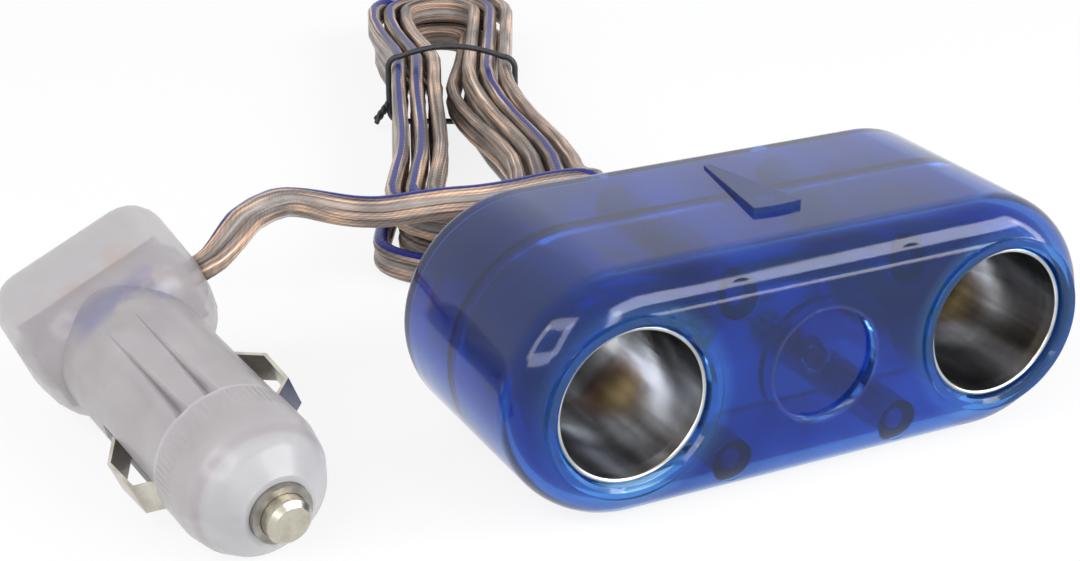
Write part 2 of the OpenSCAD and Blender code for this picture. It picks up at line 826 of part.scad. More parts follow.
module at_plug() {
    translate([plug_tip_x, plug_tip_y, plug_tip_z])
        rotate([plug_pitch - 90, 0, -plug_yaw])
            rotate([0, 0, plug_roll])
                children();
}

module grip_block() {
    hull()
        for (end = [[grip_s0 + grip_front_round, grip_front_round], [plug_l - grip_round, grip_round]])
            for (side = [-1, 1]) for (up = [-1, 1])
                translate([grip_side + side * (grip_w / 2 - end[1]), up * (grip_t / 2 - end[1]), end[0]])
                    sphere(end[1], $fn = 24);
}

// One half of the plug's shell: up is -1 for the upper half and 1 for the lower
module plug_half(up) {
    reach = plug_l * 2;
    slab_y = up < 0 ? -reach / 2 : 0;
    intersection() {
        difference() {
            union() {
                translate([0, 0, s_body]) cylinder(r = spigot_r, h = neck_s0 - s_body + over);
                translate([0, 0, neck_s0]) cylinder(r = neck_r, h = grip_s0 + grip_round - neck_s0);
                difference() {
                    grip_block();
                    translate([-chamber_w / 2, -chamber_t / 2, chamber_s0])
                        cube([chamber_w / 2 + chamber_x1, chamber_t, chamber_s1 - chamber_s0]);
                }
                translate([0, 0, grip_s0]) cylinder(r = boss_r, h = boss_s1 - grip_s0);
            }
            translate([0, 0, s_body - over]) cylinder(r = channel_r, h = s_terminal - s_body + over);
            translate([0, 0, s_body - over]) cylinder(r = pin_flange_r + pocket_gap, h = counterbore_l + over);
            translate([0, 0, s_terminal - fit]) cylinder(r = terminal_r + fit, h = terminal_t + fit * 2);
            translate([0, 0, s_terminal]) cylinder(r = terminal_tail_r + pocket_gap, h = plug_l - s_terminal - grip_round * 2);
            for (side = [-1, 1]) {
                mirror([side < 0 ? 1 : 0, 0, 0]) {
                    translate([leaf_pocket_x, -leaf_w / 2 - pocket_gap, neck_s0 - over])
                        cube([leaf_pocket_x1, leaf_w + pocket_gap * 2, leaf_pivot_s + pocket_end_gap - neck_s0 + over]);
                    translate([leaf_pivot_x - leaf_t / 2 - fit, -leaf_w / 2 - fit, leaf_pivot_s])
                        cube([leaf_t + fit * 2, leaf_w + fit * 2, yoke_s1 - leaf_pivot_s]);
                }
            }
            for (side = [-1, 1])
                translate([0, 0, entry_s + side * conductor_pitch / 2])
                    rotate([0, 90, 0])
                        cylinder(r = conductor_r + fit, h = grip_w);
            translate([grip_side, grip_t / 2 - plug_screw_sink - plug_screw_l - over, plug_screw_s])
                rotate([-90, 0, 0])
                    cylinder(r = plug_screw_r + fit, h = plug_screw_l + over * 2);
            translate([grip_side, grip_t / 2 - plug_screw_sink, plug_screw_s])
                rotate([-90, 0, 0])
                    cylinder(r = plug_screw_head_r + pocket_gap, h = plug_screw_sink + over);
            flutes();
        }
        translate([-reach / 2, slab_y, 0]) cube([reach, reach / 2, reach]);
    }
}

// Tapered grooves that deepen towards the collar, two above and two below
module flutes() {
    tilt = atan(flute_depth / flute_l);
    for (flip = [0, 180]) for (side = [-1, 1])
        rotate([0, 0, flip + side * flute_angle])
            translate([0, neck_r - flute_depth, neck_s0 - over])
                rotate([-tilt, 0, 0])
                    rotate([0, 0, 45])
                        cube([flute_w, flute_w, flute_l + over]);
}

module plug_shell_upper() {
    color(frosted) at_plug() plug_half(-1);
}

module plug_shell_lower() {
    color(frosted) at_plug() plug_half(1);
}

module nose_cap() {
    color(frosted)
    at_plug()
        rotate_extrude()
            polygon([
                [nose_hole_r, nose_front], [nose_hole_r + nose_edge, nose_front],
                [nose_cone_r, nose_cone_s], [nose_cheek_r, nose_cheek_s],
                [collar_r, collar_s0], [collar_r, collar_s1],
                [spigot_r + thread_gap, collar_s1], [spigot_r + thread_gap, cap_wall_s],
                [nose_hole_r, cap_wall_s]
            ]);
}

module nose_ring() {
    color(nickel)
    at_plug()
        rotate_extrude()
            polygon([
                [pin_r + slide_fit, ring_front], [nose_hole_r - slide_fit, ring_front],
                [nose_hole_r - slide_fit, s_ring_flange], [ring_flange_r, s_ring_flange],
                [ring_flange_r, s_ring_flange + ring_flange_t], [pin_r + slide_fit, s_ring_flange + ring_flange_t]
            ]);
}

module centre_pin() {
    color(nickel)
    at_plug()
        rotate_extrude()
            polygon([
                [0, 0], [pin_r - pin_chamfer, 0], [pin_r, pin_chamfer],
                [pin_r, s_pin_flange], [pin_flange_r, s_pin_flange],
                [pin_flange_r, s_fuse], [0, s_fuse]
            ]);
}

module fuse_glass() {
    color("white")
    at_plug()
        translate([0, 0, s_fuse + fuse_cap_l]) cylinder(r = fuse_glass_r, h = fuse_l - fuse_cap_l * 2);
}

module fuse_caps() {
    color(nickel)
    at_plug()
        for (s = [s_fuse, s_fuse + fuse_l - fuse_cap_l])
            translate([0, 0, s]) cylinder(r = fuse_r, h = fuse_cap_l);
}

module pin_spring() {
    rings = spring_curls * 8;
    flat = spring_wire_r + fit;
    color(nickel)
    at_plug()
        tube([for (i = [0 : rings])
            let (t = 360 * i / 8, climb = max(0, min(1, (i - 8) / (rings - 16))))
            [spring_r * cos(t), spring_r * sin(t),
             s_spring + flat + (spring_l - flat * 2) * climb]],
            spring_wire_r * 2, spring_wire_r * 2, [for (i = [0 : rings]) 0], 6);
}

module spring_terminal() {
    color(brass)
    at_plug() {
        translate([0, 0, s_terminal]) cylinder(r = terminal_r, h = terminal_t);
        translate([0, 0, s_terminal + terminal_t / 2]) cylinder(r = terminal_tail_r, h = terminal_tail_l);
    }
}

// A strip of sheet that follows points, as an outline
function normal_of(d) = [d[1], -d[0]] / norm(d);
function mitre(path, i) =
    let (
        before = i == 0 ? normal_of(path[1] - path[0]) : normal_of(path[i] - path[i - 1]),
        after = i == len(path) - 1 ? before : normal_of(path[i + 1] - path[i]),
        m = before + after
    )
    m / (1 + before * after);
function strip_outline(path, t) = concat(
    [for (i = [0 : len(path) - 1]) path[i] + mitre(path, i) * t / 2],
    [for (i = [len(path) - 1 : -1 : 0]) path[i] - mitre(path, i) * t / 2]
);

leaf_root_x = 6;
leaf_knee_x = 9.9;
leaf_knee_s = 31.2;
leaf_crown_x = 12.6;
leaf_crown_s = 27.4;
leaf_front_x = 12.3;
leaf_front_s = 20.8;
leaf_tip_x = 9.4;
leaf_tip_s = 18.9;

// Sprung leaf: a crown that presses on the socket's wall, a tip in the pocket, a hooked root
module side_leaf(side) {
    color(nickel)
    at_plug()
        mirror([side < 0 ? 1 : 0, 0, 0])
            rotate([90, 0, 0])
                translate([0, 0, -leaf_w / 2])
                    linear_extrude(leaf_w)
                        polygon(strip_outline([
                            [leaf_root_x, leaf_pivot_s], [leaf_pivot_x, leaf_pivot_s - leaf_t / 4],
                            [leaf_knee_x, leaf_knee_s], [leaf_crown_x, leaf_crown_s],
                            [leaf_front_x, leaf_front_s], [leaf_tip_x, leaf_tip_s]
                        ], leaf_t));
}

module side_contact_left() { side_leaf(-1); }

module side_contact_right() { side_leaf(1); }

// Fixed part of the side contacts: two arms joined behind the terminal
module contact_yoke() {
    arm_x = leaf_pivot_x - leaf_t / 2;
    color(nickel)
    at_plug() {
        for (side = [0, 1])
            mirror([side, 0, 0])
                translate([arm_x, -leaf_w / 2, yoke_s0]) cube([leaf_t, leaf_w, yoke_s1 - yoke_s0]);
        translate([-arm_x - leaf_t / 2, -leaf_w / 2, yoke_s1 - leaf_t]) cube([arm_x * 2 + leaf_t, leaf_w, leaf_t]);
    }
}

lead_start_x = grip_side + grip_w / 2;
lead_gap = 0.25;
lead_dip = chamber_t / 2 - conductor_r - lead_gap;

lead_wall_x = 12.5;
lead_turn_x = 11.7;
lead_rise_x = 10.5;
lead_over_x = 9.2;

module plug_lead_positive() {
    s = entry_s - conductor_pitch / 2;
    tail_s = s_terminal + terminal_t / 2 + terminal_tail_l;
    color(copper_clear)
    at_plug()
        tube([
            [lead_start_x, 0, s], [lead_wall_x, 0, s],
            [lead_turn_x, -lead_dip * 0.25, s], [lead_rise_x, -lead_dip * 0.75, s], [lead_over_x, -lead_dip, s],
            [leaf_pivot_x - conductor_r * 2.4, -lead_dip * 0.9, s + conductor_r / 2],
            [conductor_r * 2, -lead_dip * 0.5, tail_s + conductor_r * 1.6],
            [conductor_r / 2, -conductor_r / 2, tail_s + conductor_r * 1.5],
            [0, 0, tail_s + conductor_r / 2], [0, 0, tail_s]
        ], conductor_r * 2, conductor_r * 2, [for (i = [0 : 9]) 0], 8);
}

module plug_lead_negative() {
    s = entry_s + conductor_pitch / 2;
    bridge_s = yoke_s1 - leaf_t;
    color(blue_lead)
    at_plug()
        tube([
            [lead_start_x, 0, s], [lead_wall_x, 0, s],
            [lead_turn_x, lead_dip * 0.25, s], [lead_rise_x, lead_dip * 0.75, s], [lead_over_x, lead_dip, s],
            [leaf_pivot_x - conductor_r * 1.6, lead_dip * 0.9, s],
            [conductor_r * 2.4, lead_dip * 0.38, s + conductor_r / 8],
            [0, 0, bridge_s - conductor_r], [0, 0, bridge_s]
        ], conductor_r * 2, conductor_r * 2, [for (i = [0 : 8]) 0], 8);
}

module plug_screw() {
    color(nickel)
    at_plug()
        translate([grip_side, grip_t / 2 - plug_screw_sink + plug_screw_head_h, plug_screw_s])
            rotate([90, 0, 0]) {
                cylinder(r = plug_screw_head_r, h = plug_screw_head_h);
                cylinder(r = plug_screw_r, h = plug_screw_head_h + plug_screw_l);
            }
}

front_shell();
rear_shell();
mount_wedge();
barrel(socket_x[0]);  // barrel_left
barrel(socket_x[1]);  // barrel_right
rivet_bush(socket_x[0]);  // rivet_bush_left
rivet_bush(socket_x[1]);  // rivet_bush_right
rivet_washer(socket_x[0]);  // rivet_washer_left
rivet_washer(socket_x[1]);  // rivet_washer_right
centre_contact(socket_x[0]);  // centre_contact_left
centre_contact(socket_x[1]);  // centre_contact_right
ground_strap();
positive_bus();
lamp_led();
lamp_resistor();
lamp_wire();
shell_screws();
cord_grommet();
lead_positive();
lead_negative();
cord_exit_run();
cord_hank();
cord_plug_run();
hank_tie();
plug_shell_upper();
plug_shell_lower();
nose_cap();
nose_ring();
centre_pin();
fuse_glass();
fuse_caps();
pin_spring();
spring_terminal();
contact_yoke();
side_contact_left();
side_contact_right();
plug_lead_positive();
plug_lead_negative();
plug_screw();
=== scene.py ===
# %% [markdown]
# A power socket splitter for a car: a blue see-through housing with two sockets side by side,
# a frosted plug, and a flat twin cord that is folded into a hank and tied.
# The solids come from the CAD model, in metres, and this notebook dresses them. It gives each
# solid its finish, and makes by hand what a CAD solid leaves plain: the cord, its tie, the
# knurls and the stranded wires that show through the clear plastic.

# %% Tools and the CAD model
import json
import math

import bmesh
import bpy
from mathutils import Matrix, Vector


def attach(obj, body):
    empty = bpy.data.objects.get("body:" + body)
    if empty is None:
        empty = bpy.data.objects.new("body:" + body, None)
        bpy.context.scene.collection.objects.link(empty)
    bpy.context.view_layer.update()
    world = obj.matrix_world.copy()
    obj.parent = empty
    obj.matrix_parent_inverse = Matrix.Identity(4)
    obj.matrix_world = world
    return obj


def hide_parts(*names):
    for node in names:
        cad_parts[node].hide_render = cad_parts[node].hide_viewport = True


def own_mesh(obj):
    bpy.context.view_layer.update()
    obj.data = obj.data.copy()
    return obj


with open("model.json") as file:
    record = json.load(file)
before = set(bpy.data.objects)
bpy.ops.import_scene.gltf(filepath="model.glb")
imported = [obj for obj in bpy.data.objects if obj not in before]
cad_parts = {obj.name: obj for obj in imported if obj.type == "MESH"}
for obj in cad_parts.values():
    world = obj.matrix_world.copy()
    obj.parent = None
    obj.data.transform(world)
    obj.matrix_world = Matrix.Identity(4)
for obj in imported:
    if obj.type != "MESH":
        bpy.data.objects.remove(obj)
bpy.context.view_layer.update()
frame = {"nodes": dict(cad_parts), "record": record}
MM = 0.001
print("CAD nodes:", len(frame["nodes"]))

# %% [markdown]
# The camera comes first, because the picture has to show the housing from the left, a little
# from above, as a small product shot does. It stands 30 cm away behind a lens of 69 mm, which
# gives the strong perspective between the near plug and the far end of the hank.

# %% Camera
EYE = Vector((-147.03, -227.80, 139.12)) * MM
LOOK_AT = Vector((-33.69, 0.0, 29.30)) * MM

lens = bpy.data.cameras.new("picture_camera")
lens.lens = 68.8
lens.sensor_width = 36.0
lens.sensor_fit = "HORIZONTAL"
lens.clip_start = 0.01
camera = bpy.data.objects.new("picture_camera", lens)
camera.location = EYE
camera.rotation_euler = (LOOK_AT - EYE).to_track_quat("-Z", "Y").to_euler()
bpy.context.scene.collection.objects.link(camera)
bpy.context.scene.camera = camera
print("camera", round((LOOK_AT - EYE).length, 3), "m away")

# %% [markdown]
# A finish is a small network of nodes. Written as Python sums it reads like the recipe that it
# is, so one class holds a socket and turns + - * / into Math nodes, and another makes the
# material and its other nodes.

# %% Sums on sockets
class Amount:
    """A number that changes over a surface, and the sums that it takes part in."""

    def __init__(self, finish, socket):
        self.finish = finish
        self.socket = socket

    def math(self, operation, *others):
        return self.finish.node("ShaderNodeMath", {"operation": operation}, [self, *others])

    def __add__(self, other):
        return self.math("ADD", other)

    def __radd__(self, other):
        return self.math("ADD", other)

    def __sub__(self, other):
        return self.math("SUBTRACT", other)

    def __rsub__(self, other):
        return self.finish.node("ShaderNodeMath", {"operation": "SUBTRACT"}, [other, self])

    def __mul__(self, other):
        return self.math("MULTIPLY", other)

    def __rmul__(self, other):
        return self.math("MULTIPLY", other)

    def __truediv__(self, other):
        return self.math("DIVIDE", other)

    def __pow__(self, other):
        return self.math("POWER", other)

    def __abs__(self):
        return self.math("ABSOLUTE")

    def clamped(self):
        return self.finish.node("ShaderNodeClamp", {}, [self, 0.0, 1.0])

    def sine(self):
        return self.math("SINE")

    def step(self, low, high):
        """0 below low, 1 above high, and a smooth rise between."""
        return self.finish.node(
            "ShaderNodeMapRange",
            {"interpolation_type": "SMOOTHSTEP"},
            [self, low, high, 0.0, 1.0],
        )


class Finish:
    """A material whose nodes are made by one method, and whose shader takes named inputs."""

    def __init__(self, name):
        self.material = bpy.data.materials.new(name)
        self.material.use_nodes = True
        self.tree = self.material.node_tree
        self.tree.nodes.clear()
        self.out = self.tree.nodes.new("ShaderNodeOutputMaterial")

    def link(self, value, socket):
        if isinstance(value, Amount):
            self.tree.links.new(value.socket, socket)
        else:
            socket.default_value = value

    def node(self, kind, settings, inputs=(), output=0):
        made = self.tree.nodes.new(kind)
        for key, value in settings.items():
            if key == "stops":
                ramp = made.color_ramp
                while len(ramp.elements) < len(value):
                    ramp.elements.new(0.5)
                for element, (place, colour) in zip(ramp.elements, value):
                    element.position = place
                    element.color = (*colour, 1.0)
            else:
                setattr(made, key, value)
        pairs = inputs.items() if isinstance(inputs, dict) else enumerate(inputs)
        for key, value in pairs:
            self.link(value, made.inputs[key])
        return Amount(self, made.outputs[output])

    def place(self):
        return self.node("ShaderNodeTexCoord", {}, output="Object")

    def axis(self, vector, letter):
        return self.node("ShaderNodeSeparateXYZ", {}, [vector], output=letter)

    def attribute(self, name):
        return self.node("ShaderNodeAttribute", {"attribute_name": name}, output="Fac")

    def vector(self, *parts):
        return self.node("ShaderNodeCombineXYZ", {}, parts)

    def angle(self, y, x):
        return self.node("ShaderNodeMath", {"operation": "ARCTAN2"}, [y, x])

    def noise(self, vector, scale, detail=3.0, roughness=0.55):
        return self.node(
            "ShaderNodeTexNoise",
            {},
            {"Vector": vector, "Scale": scale, "Detail": detail, "Roughness": roughness},
        )

    def stretched(self, vector, scale, turn=(0.0, 0.0, 0.0), shift=(0.0, 0.0, 0.0)):
        return self.node(
            "ShaderNodeMapping",
            {},
            {"Vector": vector, "Location": shift, "Rotation": turn, "Scale": scale},
        )

    def colours(self, amount, *stops):
        return self.node("ShaderNodeValToRGB", {"stops": stops}, [amount])

    def mixed(self, amount, first, second):
        made = self.tree.nodes.new("ShaderNodeMix")
        made.data_type = "RGBA"
        self.link(amount, made.inputs["Factor"])
        for value, name in ((first, 6), (second, 7)):
            self.link((*value, 1.0) if isinstance(value, tuple) else value, made.inputs[name])
        return Amount(self, made.outputs[2])

    def bump(self, height, distance, strength=1.0):
        return self.node(
            "ShaderNodeBump",
            {},
            {"Height": height, "Distance": distance, "Strength": strength},
        )

    def shade(self, **inputs):
        shader = self.node("ShaderNodeBsdfPrincipled", {})
        for key, value in inputs.items():
            name = key.replace("_", " ")
            socket = shader.socket.node.inputs[name]
            self.link((*value, 1.0) if socket.type == "RGBA" and isinstance(value, tuple) else value, socket)
        self.tree.links.new(shader.socket, self.out.inputs["Surface"])
        return self.material


def dress(material, *pieces):
    """Puts a material on pieces or on CAD nodes, in place of what they came with."""
    for piece in pieces:
        thing = frame["nodes"][piece] if isinstance(piece, str) else piece
        slots = thing.material_slots
        if slots:
            for held in slots:
                held.material = material
        else:
            thing.data.materials.append(material)


print("finishes are ready to be written")

# %% [markdown]
# The cord is a flat twin lead: two round covers side by side, 5.6 mm wide and 2.8 mm thick. It
# leaves the housing through the grommet, turns onto its edge, goes round the hank's loops in
# two layers and climbs over them to the plug. A formula gives the loops, and listed points
# give the free stretches, both the same as in the CAD model.

# %% Route of the cord
CORD_W = 5.6
CORD_T = 2.8
SOCKET_X, CENTRE_Z = 29.3, 17.8
HANK_TURNS = 5.85
NEAR_REACH, FAR_REACH, NEAR_BEND = 66.0, 46.0, 56.0
NEAR_SIDE, FAR_SIDE = 8.0, -4.0
NEAR_R, FAR_R = 6.6, 5.0
WAIST_HALF, TURN_STEP = 0.8, 3.6
LOW_Z, LAYER_RISE = 2.9, 6.2
WAIST_LIFT, WAIST_LIFT_REACH = 1.6, 30.0
MIDDLE_TURN, RUN_SHARE, FOLD_SHARE = 2.7, 0.4, 0.1
HANK_AT = Vector((16.0, 142.0, 0.0))
HEADING = math.radians(26.6)
ALONG = Vector((math.sin(HEADING), math.cos(HEADING), 0.0))
ACROSS = Vector((math.cos(HEADING), -math.sin(HEADING), 0.0))


def ease(u):
    c = min(max(u, 0.0), 1.0)
    return c * c * (3.0 - 2.0 * c)


def hank_line(p):
    """Point of the hank at p turns: along it, across it and up, in millimetres."""
    f = p - math.floor(p)
    half = 0.0 if f < 0.5 else 0.5
    side = -1.0 if half == 0.0 else 1.0
    steps_out = abs(MIDDLE_TURN - p)
    waist = WAIST_HALF + TURN_STEP * steps_out
    far_fold = FAR_R + TURN_STEP * steps_out
    near_fold = NEAR_R + TURN_STEP * steps_out
    u = (f - half) / RUN_SHARE
    if u < 1.0:
        start = NEAR_REACH if half == 0.0 else FAR_REACH
        a = -side * (u * (NEAR_REACH + FAR_REACH) - start)
        reach, centre, fold = (FAR_REACH, FAR_SIDE, far_fold) if a > 0 else (NEAR_REACH, NEAR_SIDE, near_fold)
        s = ease(abs(a) / reach)
        lean = ease(abs(a) / (FAR_REACH if a > 0 else NEAR_BEND))
        b = lean * centre + side * (waist + (fold - waist) * s)
    else:
        turn = math.pi * (f - half - RUN_SHARE) / FOLD_SHARE
        if half == 0.0:
            a = FAR_REACH + far_fold * math.sin(turn)
            b = FAR_SIDE - far_fold * math.cos(turn)
        else:
            a = -NEAR_REACH - near_fold * math.sin(turn)
            b = NEAR_SIDE + near_fold * math.cos(turn)
    z = LOW_Z + LAYER_RISE * ease((p - MIDDLE_TURN + RUN_SHARE / 2) / RUN_SHARE)
    z += WAIST_LIFT * (1.0 - ease(abs(a) / WAIST_LIFT_REACH))
    return a, b, z


def hank_point(p):
    a, b, z = hank_line(p)
    return HANK_AT + ALONG * a + ACROSS * b + Vector((0.0, 0.0, z))


RUN_STEPS, FOLD_STEPS = 14, 12
half_steps = [RUN_SHARE * i / RUN_STEPS for i in range(RUN_STEPS)]
half_steps += [RUN_SHARE + FOLD_SHARE * i / FOLD_STEPS for i in range(FOLD_STEPS)]
phases = [h / 2 + s for h in range(math.ceil(HANK_TURNS * 2)) for s in half_steps]
phases = [p for p in phases if p < HANK_TURNS - 0.005] + [HANK_TURNS]
hank = [hank_point(p) for p in phases]
print("hank:", len(hank), "points from", [round(v, 1) for v in hank[0]], "to", [round(v, 1) for v in hank[-1]])

# %% Free stretches at both ends
TIP = Vector((-74.7, -13.1, 8.97944))
YAW, PITCH, ROLL = math.radians(-8.0), math.radians(6.5), math.radians(-24.0)
BACK = Vector((math.sin(YAW) * math.cos(PITCH), math.cos(YAW) * math.cos(PITCH), math.sin(PITCH)))
LEVEL = Vector((math.cos(YAW), -math.sin(YAW), 0.0))
DOWN = BACK.cross(LEVEL)
GRIP_X = math.cos(ROLL) * LEVEL + math.sin(ROLL) * DOWN
GRIP_Y = math.cos(ROLL) * DOWN - math.sin(ROLL) * LEVEL

exit_points = [
    (0, 37.75, 8.6, 0), (0, 40.55, 8.6, 0), (0, 44, 8.4, 0), (-0.5, 49.5, 7.4, 15), (-2.2, 54.5, 5.6, 40),
    (-5.6, 58.8, 4, 65), (-10.6, 61.4, 3.1, 85), (-16, 63.2, 2.9, 90), (-21, 66.6, 2.9, 90),
    (-24.6, 71.6, 2.9, 90), (-25.6, 77, 2.9, 90),
]
plug_points = [
    (13.9, 75, 9.6, 88), (13.4, 71.4, 10.8, 75), (11.6, 68, 12.6, 60), (8.4, 65.4, 14.2, 50),
    (3.6, 64.2, 15.2, 42), (-1.6, 63.8, 15.4, 40), (-7, 63.5, 15.3, 40), (-13, 64, 15.2, 40),
    (-19, 65.4, 15.2, 40), (-25, 65.9, 15.2, 40), (-30, 65.9, 15.4, 40), (-34.6, 66.5, 16.1, 40),
    (-38.6, 67.2, 17.2, 40), (-42.2, 66.8, 18.6, 40), (-45.6, 65, 20.1, 38), (-48.7, 62, 21.5, 34),
    (-51.4, 58.2, 22.8, 29), (-54.2, 54, 24.2, 23), (-57, 50, 25.2, 16), (-59.8, 46.6, 25.7, 9),
    (-62.7, 43.9, 24.6, 4),
]
entry = TIP + GRIP_X * 15.4 + BACK * 55.0
entry_end = [(*(entry + GRIP_X * CORD_T), 0.0), (*entry, 0.0)]


def rounded_route(points, step):
    """A smooth curve through the points (x, y, z, roll), with a point every step."""
    knots = [Vector(p[:3]) for p in points]
    rolls = [p[3] for p in points]
    made = []
    for i in range(len(knots) - 1):
        before = knots[i - 1] if i else knots[i] * 2 - knots[i + 1]
        after = knots[i + 2] if i + 2 < len(knots) else knots[i + 1] * 2 - knots[i]
        count = max(1, round((knots[i + 1] - knots[i]).length / step))
        for j in range(count):
            t = j / count
            place = 0.5 * (
                2 * knots[i] + (knots[i + 1] - before) * t
                + (2 * before - 5 * knots[i] + 4 * knots[i + 1] - after) * t * t
                + (3 * knots[i] - before - 3 * knots[i + 1] + after) * t * t * t
            )
            made.append((place, rolls[i] + (rolls[i + 1] - rolls[i]) * t))
    return made + [(knots[-1], rolls[-1])]


first_way = (hank[1] - hank[0]).normalized()
last_way = (hank[-1] - hank[-2]).normalized()
start_run = exit_points + [(*(hank[0] - first_way * CORD_T), 90), (*hank[0], 90)]
end_run = [(*hank[-1], 90), (*(hank[-1] + last_way * CORD_T * 1.5), 90)] + plug_points + entry_end
start_route = rounded_route(start_run, 1.8)[:-1]
end_route = rounded_route(end_run, 1.8)
route = start_route + [(p, 90.0) for p in hank[:-1]] + end_route
centre_line = [place * MM for place, roll in route]
# The cord is twisted a little in the hank, so the stripe is up on some runs and down on others.
# Past 1 the middle of the stripe lies outside the edge, which leaves a narrower line of it
UP_FROM, UP_TO, NARROW, LEAD_SIDE = 4.0, 5.4, 1.15, 0.82
stripe_side = [1.0] * len(start_route)
for p in phases[:-1]:
    rise, fall = ease((p - UP_FROM) / 0.06 + 1.0), ease((p - UP_TO) / 0.06)
    stripe_side.append(NARROW * (2.0 * (rise - fall) - 1.0))
stripe_side += [-NARROW + (NARROW + LEAD_SIDE) * ease((i - 4) / 10.0) for i in range(len(end_route))]
cord_length = sum((b - a).length for a, b in zip(centre_line, centre_line[1:]))
print("cord:", len(route), "points,", round(cord_length, 3), "m long")

# %% [markdown]
# A swept tube is extruded ring by ring: bmesh extrudes the last ring's edges and the new ring
# is moved to its place. Each corner of the ring keeps its number, so the new ring knows which
# corner is which. The cord's finish needs to know where it is across the cord and how far
# along, so the sweep writes both on the mesh.

# %% Sweep
def sweep(name, centres, rolls, outline, sides):
    """A tube that carries outline, points across and through in metres, along the centres."""
    mesh = bpy.data.meshes.new(name)
    bm = bmesh.new()
    number = bm.verts.layers.int.new("corner")
    across_mark = bm.verts.layers.float.new("across")
    through_mark = bm.verts.layers.float.new("through")
    along_mark = bm.verts.layers.float.new("along")
    side_mark = bm.verts.layers.float.new("stripe_side")
    widest = max(x for x, y in outline)
    thickest = max(y for x, y in outline)
    travelled = 0.0
    ring = []
    for i, (centre, roll) in enumerate(zip(centres, rolls)):
        ahead = centres[min(i + 1, len(centres) - 1)]
        behind = centres[max(i - 1, 0)]
        way = (ahead - behind).normalized()
        level = Vector((way.y, -way.x, 0.0)).normalized()
        upward = level.cross(way)
        wide = math.cos(math.radians(roll)) * level + math.sin(math.radians(roll)) * upward
        thin = wide.cross(way)
        if i:
            travelled += (centre - centres[i - 1]).length
            made = bmesh.ops.extrude_edge_only(bm, edges=ring)["geom"]
            corners = [g for g in made if isinstance(g, bmesh.types.BMVert)]
            ring = [
                e for e in made
                if isinstance(e, bmesh.types.BMEdge) and all(v in corners for v in e.verts)
            ]
        else:
            corners = [bm.verts.new() for _ in outline]
            for k, v in enumerate(corners):
                v[number] = k
            ring = [bm.edges.new((corners[k], corners[(k + 1) % len(corners)])) for k in range(len(corners))]
            first_ring = list(ring)
        for v in corners:
            x, y = outline[v[number]]
            v.co = centre + wide * x + thin * y
            v[across_mark] = x / widest
            v[through_mark] = y / thickest
            v[along_mark] = travelled
            v[side_mark] = sides[i]
    bmesh.ops.edgeloop_fill(bm, edges=first_ring)
    bmesh.ops.edgeloop_fill(bm, edges=ring)
    bmesh.ops.recalc_face_normals(bm, faces=bm.faces)
    for face in bm.faces:
        face.smooth = len(face.verts) == 4
    bm.to_mesh(mesh)
    bm.free()
    made = bpy.data.objects.new(name, mesh)
    bpy.context.scene.collection.objects.link(made)
    return made


def twin_outline(width, thickness, waist, count):
    """Two round lobes side by side with a shallow groove between them."""
    r = thickness / 2
    centre = width / 2 - r
    open_angle = math.asin(waist / thickness)
    points = []
    for sign, start in ((1, -math.pi + open_angle), (-1, open_angle)):
        sweep_angle = 2 * (math.pi - open_angle)
        for k in range(count):
            t = start + sweep_angle * k / (count - 1)
            points.append((sign * centre + r * math.cos(t), r * math.sin(t)))
    return points


twin = twin_outline(CORD_W * MM, CORD_T * MM, 1.7 * MM, 11)
cord = sweep("twin_cord", centre_line, [roll for place, roll in route], twin, stripe_side)
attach(cord, "splitter")
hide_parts("cord_exit_run", "cord_hank", "cord_plug_run")
print("cord mesh:", len(cord.data.polygons), "faces")

# %% [markdown]
# The cover is clear, so what shows is the copper strands inside, one blue stripe along one
# edge, and the pale web between the two wires. The finish paints these by the distance across
# the cord and lays the strands' slant over them as a fine bump. Long noise along the cord shades
# the copper from dark brown to pale peach, and the palest peach is a painted highlight, since
# the specular level is kept low; the coat adds only a little gloss.

# %% Finish of the cord
f = Finish("clear_twin_cord")
across = f.attribute("across")
through = f.attribute("through")
along = f.attribute("along")
strands = (along * 4200.0 + across * 22.0 + through * 5.0).sine() * 0.5 + 0.5
copper_streaks_and_painted_highlights = f.noise(f.vector(along * 38.0, across * 5.0, through * 2.5), 1.0, 4.0, 0.6)
clouds = f.noise(f.place(), 70.0)
web = 1.0 - abs(across).step(0.08, 0.3)
# Painted highlight: the palest peach of this ramp stands for gloss on the copper, over the copper's own dark and light
# strands.
inside = f.colours(
    (strands * 0.02 + copper_streaks_and_painted_highlights * 0.8 + clouds * 0.25).clamped(),
    (0.42, (0.05, 0.036, 0.03)), (0.49, (0.14, 0.11, 0.095)), (0.56, (0.28, 0.22, 0.185)),
    (0.62, (0.66, 0.4, 0.25)), (0.7, (0.86, 0.69, 0.56)),
)
cover = f.colours(clouds, (0.35, (0.19, 0.175, 0.165)), (0.65, (0.42, 0.4, 0.385)))
inside = f.mixed(web * 0.75, inside, cover)
off_stripe = abs(across - f.attribute("stripe_side"))
stripe = 1.0 - off_stripe.step(0.185, 0.205)
painted = f.mixed(stripe, inside, (0.004, 0.012, 0.17))
cord_finish = f.shade(
    Base_Color=painted,
    Roughness=0.34 - 0.12 * copper_streaks_and_painted_highlights,
    Normal=f.bump(strands * 0.15 + copper_streaks_and_painted_highlights, 0.0003, 0.4),
    Specular_IOR_Level=0.2,
    Coat_Weight=0.06,
    Coat_Roughness=0.12,
    IOR=1.5,
)
dress(cord_finish, cord)
print("cord finish:", len(f.tree.nodes), "nodes")

# %% [markdown]
# The tie is a black covered wire, wrapped once round the waist of the hank, and its ends are
# twisted together and cut short at the left side.

